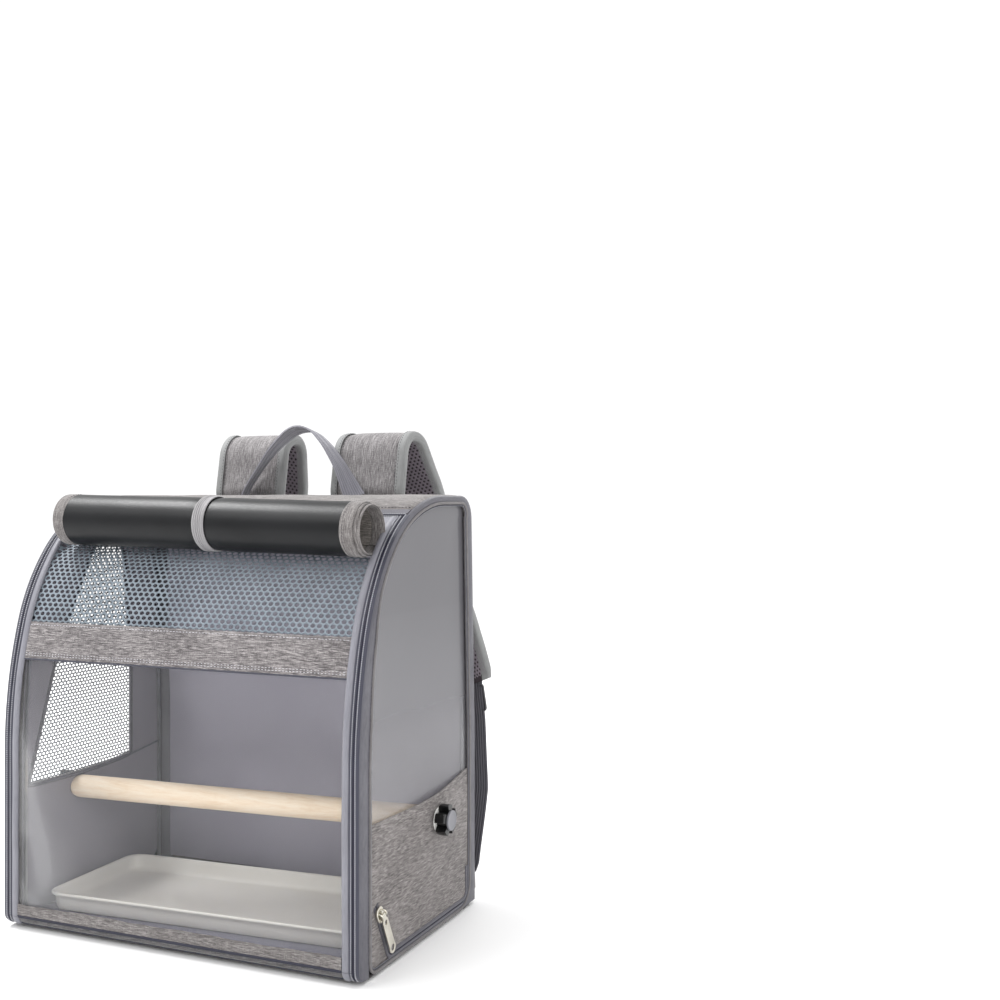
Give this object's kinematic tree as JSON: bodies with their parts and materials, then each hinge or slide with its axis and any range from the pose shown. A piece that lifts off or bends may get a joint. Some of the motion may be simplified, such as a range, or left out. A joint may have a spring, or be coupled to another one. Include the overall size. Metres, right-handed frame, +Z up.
{
  "type": "bird travel carrier",
  "caption": "Soft-sided bird carrier with a zip-round mesh and clear-film front door, rolled curtain, wooden perch with clamp knobs, lift-out tray, top handle and padded back straps.",
  "frame": {"origin": "centre of the flat underside of the base", "axes": "+Z up, front door faces -Y, +X is to the right of someone facing the door"},
  "size_m": [0.366, 0.2669, 0.4279],
  "materials": {
    "heather": "woven melange polyester",
    "tape": "smooth woven tape",
    "coil": "moulded zip coil",
    "lining": "smooth lining cloth",
    "board": "flat stiffener sheet",
    "steel": "drawn wire",
    "film": "clear flexible film",
    "side_film": "grey tinted flexible film",
    "mesh": "open hexagonal knit mesh",
    "black_film": "satin coated cloth",
    "chrome": "polished",
    "gunmetal": "dark plated",
    "wood": "plain sanded dowel",
    "white_plastic": "moulded",
    "black_plastic": "moulded",
    "grey_plastic": "moulded",
    "webbing": "ribbed webbing",
    "dark_webbing": "ribbed webbing"
  },
  "bodies": {
    "shell": {"floor_cover": "heather", "base_board": "board", "floor_lining": "lining", "base_strip": "heather", "back_panel": "heather", "back_board": "board", "back_lining": "lining", "top_panel": "heather", "gusset_l": "tape", "gusset_r": "tape", "piping_l": "tape", "piping_r": "tape", "hoop_l": "steel", "hoop_r": "steel", "panel_l": "heather", "panel_r": "heather", "film_right": "side_film", "lining_left": "lining", "mesh_left": "mesh", "frame_left": "heather", "coil_body": "coil", "zip_tape_top": "tape", "side_chain": "coil", "perch": "wood", "perch_screws": "steel", "washers": "white_plastic", "strap_l": "heather", "strap_r": "heather", "strap_mesh_l": "mesh", "strap_mesh_r": "mesh", "strap_bind_l": "tape", "strap_bind_r": "tape", "lock_l": "black_plastic", "lock_r": "black_plastic", "web_l": "dark_webbing", "web_r": "dark_webbing", "web_tab_l": "heather", "web_tab_r": "heather"},
    "door": {"door_coil": "coil", "door_binding": "tape", "door_mesh": "mesh", "door_band": "heather", "door_film": "film", "door_strip": "tape", "curtain_roll": "black_film", "hem_l": "heather", "hem_r": "heather", "roll_strap": "webbing"},
    "slider_left": {"top_slider_l": "gunmetal"},
    "slider_right": {"top_slider_r": "gunmetal"},
    "pull_left": {"top_pull_l": "gunmetal"},
    "pull_right": {"top_pull_r": "gunmetal"},
    "slider_side": {"side_slider": "chrome"},
    "pull_side": {"side_pull": "chrome"},
    "knob_left": {"knob_l": "black_plastic", "cap_l": "grey_plastic"},
    "knob_right": {"knob_r": "black_plastic", "cap_r": "grey_plastic"},
    "tray": {"tray": "white_plastic"},
    "handle": {"handle": "webbing"}
  },
  "joints": [
    {"name": "door_fold", "type": "hinge", "parent": "shell", "child": "door", "pos_m": [0, -0.1062, 0.0109], "axis": [1, 0, 0], "range_deg": [0, 90]},
    {"name": "top_zip_left", "type": "slide", "parent": "door", "child": "slider_left", "axis": [-1, 0, 0], "range_m": [0, 0.125]},
    {"name": "top_zip_right", "type": "slide", "parent": "door", "child": "slider_right", "axis": [1, 0, 0], "range_m": [0, 0.125]},
    {"name": "top_pull_left", "type": "hinge", "parent": "slider_left", "child": "pull_left", "pos_m": [-0.013, -0.02652, 0.35073], "axis": [0, 0.8776, 0.4795], "range_deg": [0, 150]},
    {"name": "top_pull_right", "type": "hinge", "parent": "slider_right", "child": "pull_right", "pos_m": [0.005, -0.02652, 0.35073], "axis": [0, -0.8776, -0.4795], "range_deg": [0, 150]},
    {"name": "side_zip", "type": "slide", "parent": "shell", "child": "slider_side", "axis": [0, 0.4389, -0.8985], "range_m": [0, 0.02]},
    {"name": "side_pull", "type": "hinge", "parent": "slider_side", "child": "pull_side", "pos_m": [0.1747, -0.076, 0.046], "axis": [0, -0.8985, -0.4389], "range_deg": [0, 150]},
    {"name": "knob_turn_left", "type": "hinge", "parent": "shell", "child": "knob_left", "pos_m": [-0.176, -0.02, 0.1007], "axis": [-1, 0, 0], "continuous": true},
    {"name": "knob_turn_right", "type": "hinge", "parent": "shell", "child": "knob_right", "pos_m": [0.176, 0.02, 0.0953], "axis": [1, 0, 0], "continuous": true},
    {"name": "tray_lift", "type": "slide", "parent": "shell", "child": "tray", "axis": [0, 0, 1], "range_m": [0, 0.058]},
    {"name": "handle_fold", "type": "hinge", "parent": "shell", "child": "handle", "pos_m": [0, 0.071, 0.3628], "axis": [1, 0, 0], "range_deg": [0, 85], "stiffness_Nm_per_rad": 0.02}
  ]
}
